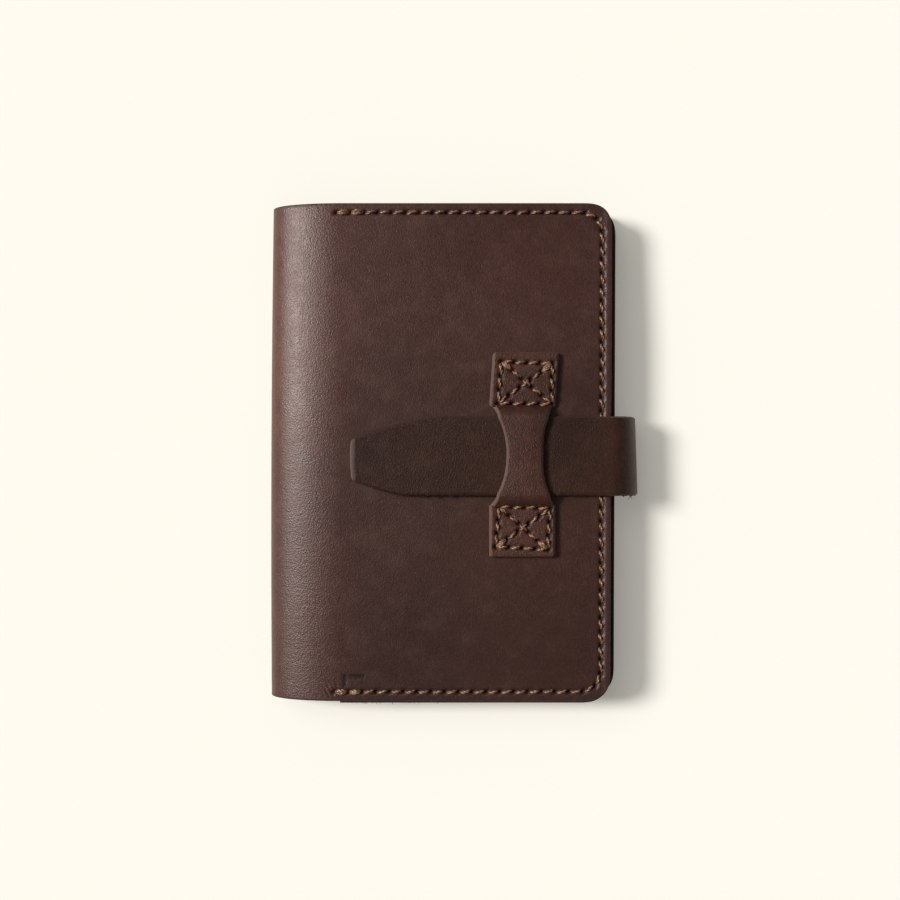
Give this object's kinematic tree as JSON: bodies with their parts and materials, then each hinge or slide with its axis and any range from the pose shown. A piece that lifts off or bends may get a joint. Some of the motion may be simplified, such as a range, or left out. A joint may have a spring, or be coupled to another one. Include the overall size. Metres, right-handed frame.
{
  "type": "leather notebook cover",
  "caption": "Slip-on leather cover for a pocket notebook, with inner sleeves and a strap that wraps the fore edge and tucks under a sewn keeper.",
  "frame": {"origin": "on the table under the closed cover, midway between the outside of the spine and the outside of the strap's bend, and midway up the hide", "axes": "+X from the spine to the fore edge, +Y towards the head of the cover, +Z out of the front panel"},
  "size_m": [0.1136, 0.1529, 0.0212],
  "materials": {
    "hide": "dark brown vegetable-tanned pull-up leather, smooth grain with fine pebble, soft sheen, burnished edges",
    "sleeve_leather": "thinner brown leather, grain side out, duller",
    "keeper_leather": "dark brown leather, burnished where it arches",
    "strap_leather": "darker brown leather, satin, raw cut edges",
    "thread": "waxed golden-brown twisted thread"
  },
  "bodies": {
    "back": {"back_panel": "hide", "back_sleeve": "sleeve_leather", "back_seam_needle_thread": "thread", "back_seam_bobbin_thread": "thread", "strap_tail": "strap_leather", "strap_anchor_needle_thread": "thread", "strap_anchor_bobbin_thread": "thread"},
    "spine": {"spine_panel": "hide"},
    "front": {"front_panel": "hide", "front_sleeve": "sleeve_leather", "front_seam_needle_thread": "thread", "front_seam_bobbin_thread": "thread", "keeper": "keeper_leather", "keeper_top_needle_thread": "thread", "keeper_top_bobbin_thread": "thread", "keeper_foot_needle_thread": "thread", "keeper_foot_bobbin_thread": "thread"},
    "strap_loop": {"strap_bend": "strap_leather"},
    "strap_end": {"strap_tongue": "strap_leather"}
  },
  "joints": [
    {"name": "cover_fold", "type": "hinge", "parent": "spine", "child": "front", "pos_m": [-0.05306, 0, 0.01161], "axis": [0, -1, 0], "range_deg": [0, 88], "deforming": ["strap_tongue", "strap_bend"]},
    {"name": "spine_fold", "type": "hinge", "parent": "back", "child": "spine", "pos_m": [-0.05415, 0, 0.00233], "axis": [0, -1, 0], "range_deg": [0, 88]},
    {"name": "tongue_slide", "type": "slide", "parent": "strap_loop", "child": "strap_end", "axis": [1, 0, 0], "range_m": [0, 0.041]},
    {"name": "loop_slide", "type": "slide", "parent": "back", "child": "strap_loop", "axis": [1, 0, 0], "range_m": [0, 0.041]}
  ],
  "couplings": [
    {"joint": "spine_fold", "follows": "cover_fold", "ratio": 1},
    {"joint": "loop_slide", "follows": "tongue_slide", "ratio": 1}
  ]
}
